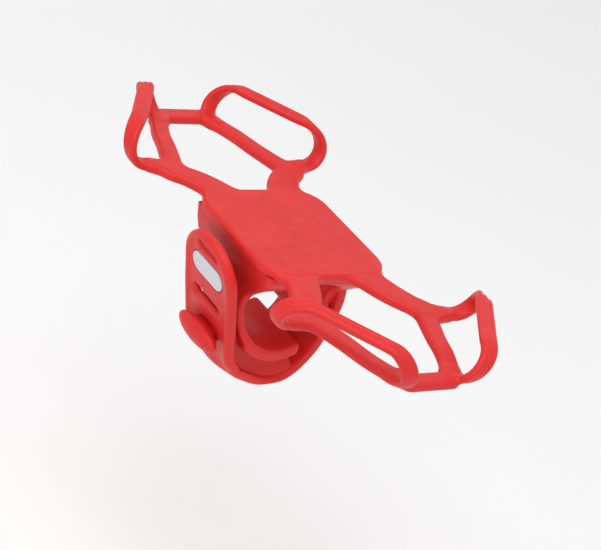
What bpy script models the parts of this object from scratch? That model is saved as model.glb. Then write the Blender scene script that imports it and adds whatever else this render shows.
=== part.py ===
"""Silicone phone mount for a bicycle stem, modelled as worn: stretched round a phone and a round stem.

Frame: metres. X to the rider's right, Y forward along the stem, Z up out of the phone's screen.
The origin is on the stem's axis, under the middle of the saddle.
"""
import bpy
import bmesh
from math import atan2, cos, pi, radians, sin, sqrt
from mathutils import Matrix, Vector

MM = 0.001

# Driving dimensions
GAP = 0.3 * MM                     # clearance kept between touching pieces
STEM_R = 14.3 * MM                 # 28.6 mm stem
CHANNEL_R = STEM_R + GAP           # inside of the saddle that hugs the stem
LEG_T = 3.3 * MM                   # thickness of the saddle's hugging legs
LEG_R = CHANNEL_R + LEG_T
PHONE_W = 70.9 * MM
PHONE_L = 143.6 * MM
PHONE_T = 7.7 * MM
PHONE_Y = -2.8 * MM                # middle of the held phone along Y
PHONE_BACK_Z = 20.2 * MM

# Pad that carries the phone
PAD_HALF = 23.0 * MM
PAD_T = 3.0 * MM
PAD_CORNER_R = 9.0 * MM
PAD_Z0 = PHONE_BACK_Z - PAD_T

# Web of arms, links and corner loops
WEB_T = 3.0 * MM
WEB_W = 6.6 * MM                   # width of a corner loop's strap
LINK_W = 7.0 * MM
PHONE_CLEAR = 0.15 * MM
WEB_Z = PHONE_BACK_Z - PHONE_CLEAR - WEB_T / 2
WEB_REAR_Z = WEB_Z - WEB_T / 2
EDGE_R = PHONE_T / 2               # rounding of the phone's rim
WRAP_R = EDGE_R + PHONE_CLEAR + WEB_T / 2
RIM_X = PHONE_W / 2 - EDGE_R       # axis of the rounded long rim
RIM_Y = PHONE_L / 2 - EDGE_R       # axis of the rounded short rim
RIM_Z = PHONE_BACK_Z + EDGE_R
FRONT_Z = RIM_Z + WRAP_R
YOKE_Y = PAD_HALF + GAP            # lines across which the upper and lower arms flex

# Corner loops and the web behind the phone, given for the right upper corner from the phone's middle
SIDE_FOOT = (37.1 * MM, 41.0 * MM)
LONG_SIDE_Y = 43.0 * MM            # where the side wrap is on the middle of the long rim
LONG_SHOULDER_Y = 46.6 * MM
LONG_EDGE_Y = 51.0 * MM            # where the front strap meets the long rim
SHORT_EDGE_X = 19.4 * MM           # where it meets the short rim
SHORT_SHOULDER_X = 17.4 * MM
SHORT_SIDE_X = 14.6 * MM
END_FOOT = (12.3 * MM, 73.6 * MM)
SHOULDER = (3.9 * MM, -1.6 * MM)   # turn of a wrap onto the glass, from the rim's axis and the front
ARM_ROOT_X = 13.0 * MM
ARM_KNEE_X = 17.0 * MM
ARM_BEND = (25.0 * MM, 38.6 * MM)
ARM_TIP_X = 36.3 * MM
ARM_WIDTHS = [11.0 * MM, 9.5 * MM, 7.6 * MM, 5.4 * MM]
BRANCH_KNEE = (17.6 * MM, 51.0 * MM)
BRANCH_TOP = (16.2 * MM, 59.0 * MM)
BRANCH_END_X = 15.6 * MM
BRANCH_WIDTHS = [7.4 * MM, 6.4 * MM, 6.4 * MM]
LINK_BORDER_Y = 73.4 * MM
LINK_TIP_X = 15.1 * MM

# Strap round the stem. Its free side is a flat leaning panel, described by a distance from the
# stem's axis and a height s up the panel.
LEAN = radians(21.0)
PANEL_OUT = 22.8 * MM              # stem axis to the panel's outer face
STRAP_T = 3.2 * MM
STRAP_HALF_W = 13.3 * MM
PANEL_IN = PANEL_OUT - STRAP_T
ELBOW_S = -16.0 * MM
SPLIT_S = 9.5 * MM                 # slotted side below, pull tab above
TAB_SHOULDER_S = 16.5 * MM
TAB_TOP_S = 28.0 * MM
REFLECTOR_S = 15.4 * MM
REFLECTOR_SIZE = (17.4 * MM, 7.4 * MM)
GROOVE_S = 23.0 * MM
GROOVE_SIZE = (10.0 * MM, 2.4 * MM)
FREE_SLOT_S = 3.4 * MM
HOOK_S = -7.4 * MM
FREE_SLOT_SIZE = (17.0 * MM, 6.0 * MM)
HOOK_SLOT_SIZE = (12.0 * MM, 5.0 * MM)
ROOT_ANGLE = radians(-20.0)        # where the strap leaves the saddle's right leg
BELT_STATIONS = [(ROOT_ANGLE, 19.8 * MM), (radians(-45.0), 23.0 * MM), (radians(-68.0), 26.0 * MM),
                 (radians(-90.0), 27.2 * MM), (radians(-108.0), 27.2 * MM)]
BELT_WIDTHS = [23.0 * MM, 24.0 * MM, 25.0 * MM, 26.0 * MM, 2 * STRAP_HALF_W]
ROOT_WIDTHS = [17.0 * MM, 19.0 * MM, 23.0 * MM]

# Hook that holds the strap
HEEL_FLANK = (-1.0 * MM, -14.0 * MM)
HEEL_UNDER = (radians(-116.0), radians(-66.0))
HEEL_HALF_W = 11.0 * MM
POST_SIZE = (10.0 * MM, 3.6 * MM)
POST_OUT = 23.0 * MM
HEAD_SIZE = (20.0 * MM, 8.0 * MM, 4.6 * MM)
HEAD_S = -6.8 * MM
HEAD_OUT = 25.6 * MM               # stem axis to the head's middle, square to the panel
HEAD_TILT = radians(-14.0)

RED = (0.68, 0.035, 0.035)
SILVER = (0.62, 0.63, 0.65)


# ---------------------------------------------------------------- helpers

def clear_scene():
    for obj in list(bpy.data.objects):
        bpy.data.objects.remove(obj, do_unlink=True)


def new_collection(name):
    group = bpy.data.collections.new(name)
    bpy.context.scene.collection.children.link(group)
    return group


def material(name, colour, roughness, metallic=0.0):
    mat = bpy.data.materials.new(name)
    mat.use_nodes = True
    shader = mat.node_tree.nodes["Principled BSDF"]
    shader.inputs["Base Color"].default_value = (*colour, 1.0)
    shader.inputs["Roughness"].default_value = roughness
    shader.inputs["Metallic"].default_value = metallic
    return mat


def add_part(name, mesh, mat, origin=Vector()):
    """Link a mesh as a part, with its origin moved to the given point."""
    mesh.transform(Matrix.Translation(-origin))
    mesh.materials.clear()
    mesh.materials.append(mat)
    mesh.shade_smooth()
    mesh.set_sharp_from_angle(angle=radians(35.0))
    obj = bpy.data.objects.new(name, mesh)
    obj.location = origin
    PARTS.objects.link(obj)
    return obj


def hide_cutter(obj):
    obj.hide_render = True
    obj.display_type = "WIRE"
    return obj


def boolean(obj, cutter, operation):
    mod = obj.modifiers.new("cut_" + cutter.name, "BOOLEAN")
    mod.operation = operation
    mod.solver = "EXACT"
    mod.object = cutter


def bevel(obj, width, segments=2, angle=50.0):
    mod = obj.modifiers.new("rounded", "BEVEL")
    mod.width = width
    mod.segments = segments
    mod.limit_method = "ANGLE"
    mod.angle_limit = radians(angle)
    mod.use_clamp_overlap = True


def frame_matrix(x_axis, y_axis, z_axis, origin=Vector()):
    rows = Matrix((x_axis, y_axis, z_axis)).transposed().to_4x4()
    rows.translation = origin
    return rows


FORWARD = Vector((0.0, 1.0, 0.0))
UPWARD = Vector((0.0, 0.0, 1.0))
SECTION_PLANE = frame_matrix((1, 0, 0), (0, 0, 1), (0, -1, 0))     # outline in X and Z, depth along Y
SIDE_PLANE = frame_matrix((0, 1, 0), (0, 0, 1), (1, 0, 0))         # outline in Y and Z, depth along X
PANEL_UP = Vector((-sin(LEAN), 0.0, cos(LEAN)))
PANEL_NORMAL = Vector((-cos(LEAN), 0.0, -sin(LEAN)))
PANEL_PLANE = frame_matrix((0, -1, 0), PANEL_UP, PANEL_NORMAL)     # outline in -Y and s, depth outwards


def on_panel(s, out, across=0.0):
    """Point at height s up the strap's leaning panel, at a distance out from the stem's axis."""
    return PANEL_NORMAL * out + PANEL_UP * s + Vector((0.0, across, 0.0))


def arc(radius, start, end, steps, centre=(0.0, 0.0)):
    points = []
    for i in range(steps + 1):
        angle = start + (end - start) * i / steps
        points.append((centre[0] + radius * cos(angle), centre[1] + radius * sin(angle)))
    return points


def stadium(length, height, centre=(0.0, 0.0), steps=6):
    radius = height / 2
    reach = length / 2 - radius
    right = arc(radius, -pi / 2, pi / 2, steps, (centre[0] + reach, centre[1]))
    left = arc(radius, pi / 2, 3 * pi / 2, steps, (centre[0] - reach, centre[1]))
    return right + left


def rounded_square(half, radius, steps=5):
    points = []
    for quarter in range(4):
        angle = quarter * pi / 2
        corner = Vector((half - radius, half - radius))
        corner.rotate(Matrix.Rotation(angle, 2))
        points += arc(radius, angle, angle + pi / 2, steps, corner)
    return points


def prism(name, outline, depth_from, depth_to, plane):
    """Mesh of a flat outline extruded between two depths along the plane's third axis."""
    curve = bpy.data.curves.new(name, "CURVE")
    curve.dimensions = "2D"
    curve.fill_mode = "BOTH"
    curve.extrude = (depth_to - depth_from) / 2
    spline = curve.splines.new("POLY")
    spline.points.add(len(outline) - 1)
    for point, (x, y) in zip(spline.points, outline):
        point.co = (x, y, 0.0, 1.0)
    spline.use_cyclic_u = True
    source = bpy.data.objects.new(name, curve)
    bpy.context.scene.collection.objects.link(source)
    bpy.context.view_layer.update()
    mesh = bpy.data.meshes.new_from_object(source.evaluated_get(bpy.context.evaluated_depsgraph_get()))
    bpy.data.objects.remove(source, do_unlink=True)
    bpy.data.curves.remove(curve)
    mesh.transform(plane @ Matrix.Translation((0.0, 0.0, (depth_from + depth_to) / 2)))
    tidy(mesh)
    return mesh


def face_outwards(bm):
    bmesh.ops.recalc_face_normals(bm, faces=bm.faces)
    if bm.calc_volume(signed=True) < 0.0:
        bmesh.ops.reverse_faces(bm, faces=bm.faces)


def tidy(mesh):
    """Weld the caps on and point every face outwards."""
    bm = bmesh.new()
    bm.from_mesh(mesh)
    bmesh.ops.remove_doubles(bm, verts=bm.verts, dist=1e-6)
    face_outwards(bm)
    bm.to_mesh(mesh)
    bm.free()


def add_cutter(name, mesh):
    obj = bpy.data.objects.new(name, mesh)
    CUTTERS.objects.link(obj)
    return hide_cutter(obj)


def smooth_path(points, steps):
    """Points on a Catmull-Rom curve that passes through the given ones."""
    ends = [points[0] * 2 - points[1]] + list(points) + [points[-1] * 2 - points[-2]]
    path = []
    for i in range(1, len(ends) - 2):
        p0, p1, p2, p3 = ends[i - 1:i + 3]
        for k in range(steps):
            t = k / steps
            path.append(0.5 * (2 * p1 + (p2 - p0) * t + (2 * p0 - 5 * p1 + 4 * p2 - p3) * t * t
                               + (3 * p1 - p0 - 3 * p2 + p3) * t ** 3))
    path.append(points[-1].copy())
    return path


def blend_value(values, t):
    """Read a list of evenly spaced values at t from 0 to 1."""
    place = t * (len(values) - 1)
    low = min(int(place), len(values) - 2)
    return values[low] + (values[low + 1] - values[low]) * (place - low)


# Half of a strap's section, as shares of its half width and half thickness
SECTION = [(1.0, 0.0), (0.93, 0.62), (0.66, 1.0), (0.0, 1.0), (-0.66, 1.0), (-0.93, 0.62)]


FAN = 7                            # steps over which the sections turn from an end's cut to square


def section_plane(along, i, last, start_cut, end_cut):
    """Normal of a section's plane: an end's cut at that end, turning to square along the path."""
    fan = min(FAN, last / 2)
    start_share = max(0.0, 1.0 - i / fan) if start_cut else 0.0
    end_share = max(0.0, 1.0 - (last - i) / fan) if end_cut else 0.0
    plane = along * (1.0 - start_share - end_share)
    for cut, share in ((start_cut, start_share), (end_cut, end_share)):
        if share:
            plane += cut * (share if along.dot(cut) > 0.0 else -share)
    return plane.normalized()


def band_mesh(name, path, normals, widths, thicknesses, start_cut=None, end_cut=None):
    """Loft a strap's rounded section along a path. normals point out of the strap's outer face.

    start_cut and end_cut are the normals of the planes that the end faces are cut to.
    """
    bm = bmesh.new()
    rings = []
    last = len(path) - 1
    section = SECTION + [(-x, -y) for x, y in SECTION]
    for i, centre in enumerate(path):
        along = (path[min(i + 1, last)] - path[max(i - 1, 0)]).normalized()
        side = normals[i].cross(along).normalized()
        up = along.cross(side)
        half_w = blend_value(widths, i / last) / 2
        half_t = blend_value(thicknesses, i / last) / 2
        ring = [centre + side * x * half_w + up * y * half_t for x, y in section]
        plane = section_plane(along, i, last, start_cut, end_cut)
        ring = [p - along * (p - centre).dot(plane) / along.dot(plane) for p in ring]
        rings.append([bm.verts.new(p) for p in ring])
    for ring, following in zip(rings, rings[1:]):
        for k in range(len(ring)):
            n = (k + 1) % len(ring)
            bm.faces.new((ring[k], ring[n], following[n], following[k]))
    bmesh.ops.triangulate(bm, faces=bm.faces)
    bm.faces.new(rings[0])
    bm.faces.new(rings[-1])
    face_outwards(bm)
    mesh = bpy.data.meshes.new(name)
    bm.to_mesh(mesh)
    bm.free()
    return mesh


# ---------------------------------------------------------------- saddle

def waist_profile():
    """Half lengths of the saddle along Y against height: long under the pad, waisted beside the stem."""
    right = [(21.0, 17.5), (20.4, 14.5), (17.0, 11.0), (12.5, 7.6), (9.2, 4.2), (7.9, 1.0),
             (8.4, -2.6), (9.8, -6.5), (11.4, -10.5), (12.7, -14.0), (13.3, -18.5)]
    points = [(y * MM, z * MM) for y, z in right]
    return points + [(-y, z) for y, z in reversed(points)]


def saddle_section(start, end, steps):
    """Outline of a leg: a band that hugs the stem between two angles."""
    inner = arc(CHANNEL_R, start, end, steps)
    outer = arc(LEG_R, start, end, steps)
    return outer + inner[::-1]


CROWN_END = radians(16.0)          # angle at which the crown hands over to each leg
SEAM = GAP / CHANNEL_R             # angle of the gap left there


def make_saddle(red):
    reach = 30.0 * MM
    half = 21.0 * MM
    waist = add_cutter("waist_profile", prism("waist_profile", waist_profile(), -reach, reach, SIDE_PLANE))

    top = PAD_Z0 - GAP
    root_r = LEG_R + GAP + STRAP_T
    right = [(22.0 * MM, top), (21.7 * MM, 12.5 * MM), (21.2 * MM, 8.8 * MM),
             (root_r * cos(CROWN_END), root_r * sin(CROWN_END))]
    channel = arc(CHANNEL_R, CROWN_END, pi - CROWN_END, 18)
    left = [(-LEG_R * cos(CROWN_END), LEG_R * sin(CROWN_END)), (-18.3 * MM, 7.4 * MM), (-19.2 * MM, 9.8 * MM),
            (-20.6 * MM, 13.2 * MM), (-22.0 * MM, top)]
    outline = right + channel + left
    crown = add_part("saddle_crown", prism("saddle_crown", outline, -half, half, SECTION_PLANE), red)
    boolean(crown, waist, "INTERSECT")

    spans = {"left_leg": (pi - CROWN_END + SEAM, radians(300.0), 20),
             "right_leg": (radians(-35.0), CROWN_END - SEAM, 9)}
    for name, (start, end, steps) in spans.items():
        leg = add_part(name, prism(name, saddle_section(start, end, steps), -half, half, SECTION_PLANE), red)
        boolean(leg, waist, "INTERSECT")


def make_pad(red):
    outline = rounded_square(PAD_HALF, PAD_CORNER_R)
    flat = frame_matrix((1, 0, 0), (0, 1, 0), (0, 0, 1))
    pad = add_part("phone_pad", prism("phone_pad", outline, PAD_Z0, PHONE_BACK_Z, flat), red)
    bevel(pad, 0.8 * MM)


# ---------------------------------------------------------------- strap round the stem

def belt_path():
    """Middle of the strap from its root on the right, under the stem, to the elbow on the left."""
    points = [Vector((r * cos(a), 0.0, r * sin(a))) for a, r in BELT_STATIONS]
    middle = (PANEL_IN + PANEL_OUT) / 2
    points.append(on_panel(ELBOW_S - 2.2 * MM, middle - 0.3 * MM))
    points.append(on_panel(ELBOW_S, middle))
    return smooth_path(points, 4)


def square_to(path):
    """Outward normals of a path that lies in the XZ plane and turns clockwise round the stem."""
    normals = []
    for i in range(len(path)):
        along = path[min(i + 1, len(path) - 1)] - path[max(i - 1, 0)]
        normals.append(Vector((-along.z, 0.0, along.x)).normalized())
    return normals


def make_belt(red):
    path = belt_path()
    normals = square_to(path)
    root_axis = path[0] + normals[0] * STRAP_T / 2
    belt = band_mesh("strap_belt", path, normals, BELT_WIDTHS, [STRAP_T, STRAP_T])
    add_part("strap_belt", belt, red, root_axis)

    first = CROWN_END - SEAM
    last = ROOT_ANGLE + SEAM
    angles = [first + (last - first) * i / 5 for i in range(6)]
    middle = LEG_R + GAP + STRAP_T / 2
    root = [Vector((middle * cos(a), 0.0, middle * sin(a))) for a in angles]
    normals = [p.normalized() for p in root]
    add_part("strap_root", band_mesh("strap_root", root, normals, ROOT_WIDTHS, [STRAP_T, STRAP_T]), red)


def panel_piece(name, outline, red):
    hinge = on_panel(ELBOW_S, PANEL_OUT)
    return add_part(name, prism(name, outline, PANEL_IN, PANEL_OUT, PANEL_PLANE), red, hinge)


def panel_cutter(name, outline, depth_from, depth_to):
    return add_cutter(name, prism(name, outline, depth_from, depth_to, PANEL_PLANE))


def make_strap_side(red):
    half = STRAP_HALF_W
    outline = [(-half, ELBOW_S + GAP), (half, ELBOW_S + GAP), (half, SPLIT_S - GAP), (-half, SPLIT_S - GAP)]
    side = panel_piece("strap_side", outline, red)
    slots = {"free_slot": (FREE_SLOT_SIZE, FREE_SLOT_S), "hook_slot": (HOOK_SLOT_SIZE, HOOK_S)}
    for name, (size, s) in slots.items():
        slot = stadium(*size, (0.0, s))
        boolean(side, panel_cutter(name, slot, PANEL_IN - 2 * MM, PANEL_OUT + 2 * MM), "DIFFERENCE")
    bevel(side, 0.7 * MM)


def make_pull_tab(red, silver):
    half = STRAP_HALF_W
    rise = TAB_TOP_S - TAB_SHOULDER_S
    dome = [(half * cos(t), TAB_SHOULDER_S + rise * sin(t)) for t in (pi * i / 16 for i in range(17))]
    tab = panel_piece("pull_tab", [(-half, SPLIT_S), (half, SPLIT_S)] + dome, red)
    length, height = REFLECTOR_SIZE
    recess = stadium(length + 2 * GAP, height + 2 * GAP, (0.0, REFLECTOR_S))
    floor = PANEL_OUT - 0.9 * MM
    boolean(tab, panel_cutter("reflector_recess", recess, floor, PANEL_OUT + MM), "DIFFERENCE")
    groove = stadium(*GROOVE_SIZE, (0.0, GROOVE_S))
    boolean(tab, panel_cutter("grip_groove", groove, PANEL_OUT - 0.8 * MM, PANEL_OUT + MM), "DIFFERENCE")
    bevel(tab, 0.6 * MM)

    face = prism("reflector", stadium(length, height, (0.0, REFLECTOR_S)), floor + GAP,
                 PANEL_OUT + 0.1 * MM, PANEL_PLANE)
    add_part("reflector", face, silver, on_panel(ELBOW_S, PANEL_OUT))


# ---------------------------------------------------------------- hook

def make_hook(red):
    """Heel wedge on the left leg, with the post and head that the strap's slot catches on."""
    inner = arc(LEG_R + GAP, radians(205.0), radians(297.0), 14)
    reach = PANEL_IN - GAP
    flank = [on_panel(s, reach) for s in HEEL_FLANK]
    path = belt_path()
    under = [p - n * (STRAP_T / 2 + GAP) for p, n in zip(path, square_to(path))]
    under = [p for p in under if HEEL_UNDER[0] < atan2(p.z, p.x) < HEEL_UNDER[1]]
    outer = [(p.x, p.z) for p in flank] + [(p.x, p.z) for p in reversed(under)]
    heel = prism("hook_heel", inner[::-1] + outer, -HEEL_HALF_W, HEEL_HALF_W, SECTION_PLANE)
    bevel(add_part("hook_heel", heel, red), 1.4 * MM)

    post = prism("hook_post", stadium(*POST_SIZE, (0.0, HOOK_S)), PANEL_IN, POST_OUT, PANEL_PLANE)
    add_part("hook_post", post, red)

    bm = bmesh.new()
    bmesh.ops.create_uvsphere(bm, u_segments=20, v_segments=12, radius=0.5)
    head = bpy.data.meshes.new("hook_head")
    bm.to_mesh(head)
    bm.free()
    tilt = Matrix.Rotation(HEAD_TILT, 4, "X")
    size = Matrix.Diagonal((*HEAD_SIZE, 1.0))
    lift = Matrix.Translation((0.0, HEAD_S, HEAD_OUT))
    head.transform(PANEL_PLANE @ lift @ tilt @ size)
    add_part("hook_head", head, red)


# ---------------------------------------------------------------- web that holds the phone

def quadrant(point, side, end):
    """Place a point given for the right upper corner, from the phone's middle, into any corner."""
    x, y, z = point
    return Vector((x * side, y * end + PHONE_Y, z))


def rear(x, y):
    return (x, y, WEB_Z)


def make_yoke(end, label, red):
    """The arms, branches and link of one end, which lie flat behind the phone."""
    hinge = Vector((0.0, YOKE_Y * end, WEB_REAR_Z))
    root_y = YOKE_Y + GAP - PHONE_Y * end
    knee_y = (root_y + ARM_BEND[1]) / 2
    foot_line = (Vector(SIDE_FOOT) - Vector(END_FOOT)).normalized()
    down = Vector((0.0, 0.0, -1.0))
    steps = 4
    thick = [WEB_T, WEB_T]
    for side, hand in ((-1, "left"), (1, "right")):
        cut = Vector((foot_line.y * side, -foot_line.x * end, 0.0))
        arm = [(ARM_ROOT_X, root_y), (ARM_KNEE_X, knee_y), ARM_BEND, (ARM_TIP_X, SIDE_FOOT[1])]
        path = smooth_path([quadrant(rear(*p), side, end) for p in arm], steps)
        mesh = band_mesh("arm", path, [down] * len(path), ARM_WIDTHS, thick, FORWARD, cut)
        add_part(f"{label}_{hand}_arm", mesh, red, hinge)

        fork = 2 * steps - 1
        along = (path[fork + 1] - path[fork - 1]).normalized()
        outward = UPWARD.cross(along) * side * end
        start = path[fork] + outward * (blend_value(ARM_WIDTHS, fork / (len(path) - 1)) / 2 + GAP)
        branch = [BRANCH_KNEE, BRANCH_TOP, (BRANCH_END_X, LINK_BORDER_Y - LINK_W - GAP)]
        path = smooth_path([start] + [quadrant(rear(*p), side, end) for p in branch], steps)
        mesh = band_mesh("branch", path, [down] * len(path), BRANCH_WIDTHS, thick, outward, FORWARD)
        add_part(f"{label}_{hand}_branch", mesh, red, hinge)

    shares = (-1.0, -0.5, 0.0, 0.5, 1.0)
    link = [quadrant(rear(LINK_TIP_X * k, LINK_BORDER_Y - LINK_W / 2), 1, end) for k in shares]
    cuts = [Vector((foot_line.y * side, -foot_line.x * end, 0.0)) for side in (-1, 1)]
    mesh = band_mesh("link", link, [down] * len(link), [LINK_W, LINK_W], thick, cuts[0], cuts[1])
    add_part(f"{label}_link", mesh, red, hinge)


def on_rim(point):
    """Move a point onto the surface that the straps' middle follows round the phone, with its normal."""
    core = Vector((max(-RIM_X, min(RIM_X, point[0])), max(-RIM_Y, min(RIM_Y, point[1])), RIM_Z))
    normal = (Vector(point) - core).normalized()
    return core + normal * WRAP_R, normal


def loop_guide():
    """Guide points of a corner loop: up the long rim, across the glass and down the short rim."""
    foot_z = PHONE_BACK_Z + PHONE_CLEAR
    foot_out = sqrt(WRAP_R ** 2 - (RIM_Z - foot_z) ** 2)
    side_out = RIM_X + WRAP_R
    end_out = RIM_Y + WRAP_R
    out, drop = SHOULDER
    middle = ((RIM_X + SHORT_EDGE_X) / 2, (LONG_EDGE_Y + RIM_Y) / 2, FRONT_Z)
    return [(RIM_X + foot_out, SIDE_FOOT[1], foot_z),
            (side_out, LONG_SIDE_Y, RIM_Z),
            (RIM_X + out, LONG_SHOULDER_Y, FRONT_Z + drop),
            (RIM_X, LONG_EDGE_Y, FRONT_Z),
            middle,
            (SHORT_EDGE_X, RIM_Y, FRONT_Z),
            (SHORT_SHOULDER_X, RIM_Y + out, FRONT_Z + drop),
            (SHORT_SIDE_X, end_out, RIM_Z),
            (END_FOOT[0], RIM_Y + foot_out, foot_z)]


def make_loop(end, side, label, red):
    """One corner loop: a wrap round each rim of the phone, and the strap across its glass."""
    steps = 5
    points = []
    normals = []
    for p in smooth_path([Vector(p) for p in loop_guide()], steps):
        place, normal = on_rim(p)
        points.append(quadrant(place, side, end))
        normals.append(Vector((normal.x * side, normal.y * end, normal.z)))
    side_heel = Vector((RIM_X + WRAP_R + WEB_T / 2, SIDE_FOOT[1]))
    end_heel = Vector((END_FOOT[0], RIM_Y + WRAP_R + WEB_T / 2))
    hinge = quadrant((*((side_heel + end_heel) / 2), PHONE_BACK_Z - PHONE_CLEAR / 2), side, end)

    first, last = 3 * steps, 5 * steps
    cuts = [(points[i + 1] - points[i - 1]).normalized() for i in (first, last)]
    strap = [p.copy() for p in points[first:last + 1]]
    strap[0] += cuts[0] * GAP
    strap[-1] -= cuts[1] * GAP
    pieces = {"side_wrap": (points[:first + 1], normals[:first + 1], UPWARD, cuts[0]),
              "front_strap": (strap, normals[first:last + 1], cuts[0], cuts[1]),
              "end_wrap": (points[last:], normals[last:], cuts[1], UPWARD)}
    for name, (path, outward, start_cut, end_cut) in pieces.items():
        mesh = band_mesh(name, path, outward, [WEB_W, WEB_W], [WEB_T, WEB_T], start_cut, end_cut)
        add_part(f"{label}_{name}", mesh, red, hinge)


# ---------------------------------------------------------------- build

clear_scene()
PARTS = new_collection("phone_mount")
CUTTERS = new_collection("cutters")
silicone = material("silicone", RED, 0.45)
foil = material("reflective_foil", SILVER, 0.4)
make_pad(silicone)
make_saddle(silicone)
make_hook(silicone)
make_belt(silicone)
make_strap_side(silicone)
make_pull_tab(silicone, foil)
for direction, where in ((1, "upper"), (-1, "lower")):
    make_yoke(direction, where, silicone)
    for across, turn in ((-1, "left"), (1, "right")):
        make_loop(direction, across, f"{where}_{turn}", silicone)
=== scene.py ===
"""Looks of the silicone phone mount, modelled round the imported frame.

Shapes are worked out in millimetres in the row frame: X to the rider's right, Y forward, Z out of the
phone's screen, with the origin on the stem's axis. Most pieces are the zero surface of a distance field,
so that arms, pads and straps run into each other with moulded fillets.
"""
from math import cos, pi, radians, sin

import bmesh
import bpy
import numpy as np
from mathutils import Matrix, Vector


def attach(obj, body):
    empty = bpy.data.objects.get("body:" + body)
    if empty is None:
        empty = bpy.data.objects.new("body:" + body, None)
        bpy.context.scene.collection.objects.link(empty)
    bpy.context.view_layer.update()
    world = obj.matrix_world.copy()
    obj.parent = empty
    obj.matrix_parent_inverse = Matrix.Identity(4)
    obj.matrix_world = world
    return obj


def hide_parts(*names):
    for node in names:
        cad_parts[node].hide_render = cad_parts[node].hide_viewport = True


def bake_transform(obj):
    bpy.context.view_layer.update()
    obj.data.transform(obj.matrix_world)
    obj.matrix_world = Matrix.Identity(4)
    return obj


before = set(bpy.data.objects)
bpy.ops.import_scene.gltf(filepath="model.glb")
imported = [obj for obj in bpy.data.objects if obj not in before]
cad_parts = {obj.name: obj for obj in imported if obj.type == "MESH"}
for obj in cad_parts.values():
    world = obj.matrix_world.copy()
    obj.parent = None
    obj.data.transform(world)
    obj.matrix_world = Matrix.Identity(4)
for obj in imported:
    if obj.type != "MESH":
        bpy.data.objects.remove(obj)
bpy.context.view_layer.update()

MM = 0.001

# Dimensions in millimetres
CHANNEL_R = 14.6                   # inside of the saddle
LEG_R = 17.9                       # outside of its hugging legs
PHONE_Y = -2.8                     # middle of the held phone
PAD_HALF = 23.0
PAD_CORNER_R = 9.0
PAD_TOP = 20.2
PAD_HALF_T = 1.5
WEB_Z = 18.55                      # middle of the flat web behind the phone
WEB_HALF_T = 1.5
WEB_REACH_Y = 75.5                 # more than the web's reach along the phone from its middle
YOKE_Y = 23.3                      # line across which an end of the web flexes
SEAM_Y = 22.0                      # where the pad's piece hands over to the web's

BAND_HALF_W = 2.6                  # section of a corner loop's band
BAND_HALF_T = 1.3
WRAP_R = 5.4                       # from the axis of the phone's rounded edge to a band's middle
RIM_X = 31.6                       # axes of the phone's rounded edges
RIM_Y = 67.95
RIM_Z = 24.2
SIDE_FOOT = radians(-60.0)         # where a loop's feet meet the web, as angles round the phone's edge
END_FOOT = radians(-42.0)

# The strap's free side is a flat leaning panel. s is a height up it, out is a distance from the stem's
# axis, and a size is a width and a height.
LEAN = radians(21.0)
PANEL_UP = np.array([-sin(LEAN), 0.0, cos(LEAN)])
PANEL_OUT = np.array([-cos(LEAN), 0.0, -sin(LEAN)])
PANEL_MID = 21.2                   # out to the middle of the strap
STRAP_HALF_T = 1.6
STRAP_HALF_W = 13.3
STRAP_SEAM_S = -38.0               # where the belt's piece hands over to the tab's
TAB_SHOULDER_S = 15.8
TAB_TOP_S = 27.4
GRIP_S = 23.0
GRIP_SIZE = (10.6, 2.6)
GRIP_DEPTH = 1.2
REFLECTOR_S = 15.4
REFLECTOR_SIZE = (16.6, 6.9)
SOCKET_DEPTH = 0.9                 # hollow that the reflector lies in
FREE_SLOT_S = 4.0
FREE_SLOT_ACROSS = 0.6
FREE_SLOT_SIZE = (14.2, 2.6)
HOOK_S = -7.4
HOOK_SLOT_SIZE = (10.5, 4.1)
POST_SIZE = (10.0, 3.6)
POST_OUT = 20.6                    # middle of the hook's post
POST_HALF_LENGTH = 4.2
HEAD_S = -7.1
HEAD_OUT = 25.6
HEAD_TILT = radians(-14.0)
HEAD_HALF_WIDTH = 9.9
HEAD_HALF_HEIGHT = 3.6
HEAD_FRONT = 2.4                   # how far the head bulges outwards and inwards
HEAD_BACK = 3.3

HEEL_INNER_R = 15.2
HEEL_TOP_S = -4.0
HEEL_TAIL = radians(-64.0)         # where the heel ends under the stem
HEEL_HALF_W = 12.5
HEEL_SINK = 1.0                    # how far the heel runs into the strap
CROWN_LOW = -0.5
CROWN_HIGH = 17.9
SADDLE_TOP = 17.3

# Spacing of the points that the pieces are drawn from
WEB_CELL = 0.42
PAD_CELL = 0.5
STRAP_CELL = 0.36
PATCH_CELL = 0.2
SADDLE_CELL = 0.42
HOOK_CELL = 0.33

SIDES = (("left", -1), ("right", 1))
FAR = 20.0                         # stands for the distance of whatever is too far off to matter


# ---------------------------------------------------------------- distance fields

def smooth_min(a, b, k):
    """The lesser of two distances, with a fillet about k wide where they meet."""
    h = np.clip(0.5 + 0.5 * (b - a) / k, 0.0, 1.0)
    return b + (a - b) * h - k * h * (1.0 - h)


def smooth_max(a, b, k):
    return -smooth_min(-a, -b, k)


def curve(points, steps):
    """Points on a Catmull-Rom curve through the given ones, as an array."""
    points = np.asarray(points, float)
    ends = np.vstack((2 * points[0] - points[1], points, 2 * points[-1] - points[-2]))
    t = (np.arange(steps) / steps)[:, None]
    parts = []
    for p0, p1, p2, p3 in zip(ends, ends[1:], ends[2:], ends[3:]):
        parts.append(0.5 * (2 * p1 + (p2 - p0) * t + (2 * p0 - 5 * p1 + 4 * p2 - p3) * t ** 2
                            + (3 * p1 - p0 - 3 * p2 + p3) * t ** 3))
    parts.append(points[-1:])
    return np.vstack(parts)


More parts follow.
